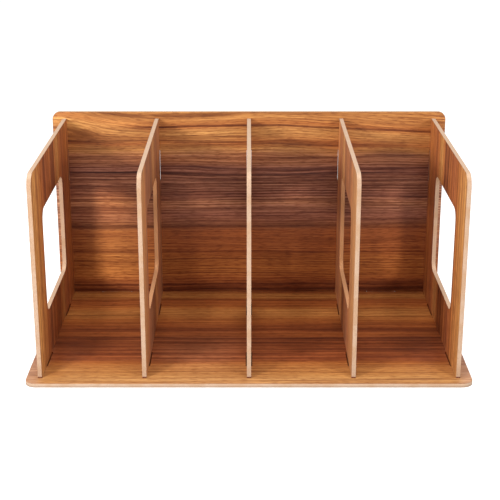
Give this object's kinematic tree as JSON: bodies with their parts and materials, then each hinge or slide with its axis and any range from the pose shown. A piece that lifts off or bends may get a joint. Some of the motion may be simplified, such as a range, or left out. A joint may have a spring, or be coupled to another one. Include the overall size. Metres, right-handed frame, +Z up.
{
  "type": "desk organizer",
  "caption": "Open-fronted organizer of slotted flat boards: upright dividers with rounded windows stand on a base against a back panel and form a row of equal bays.",
  "frame": {"origin": "middle of the footprint, on the surface that the organizer stands on", "axes": "+X along the row of bays, towards the right-hand side board seen from the open front; +Y from the open front to the back panel; +Z up"},
  "size_m": [0.4, 0.2354, 0.199],
  "materials": {
    "base_board": "satin",
    "back_board": "satin",
    "upright_board": "satin"
  },
  "bodies": {
    "root": {"base": "base_board", "back_panel": "back_board", "left_side": "upright_board", "divider_1": "upright_board", "divider_2": "upright_board", "divider_3": "upright_board", "right_side": "upright_board"}
  },
  "joints": []
}
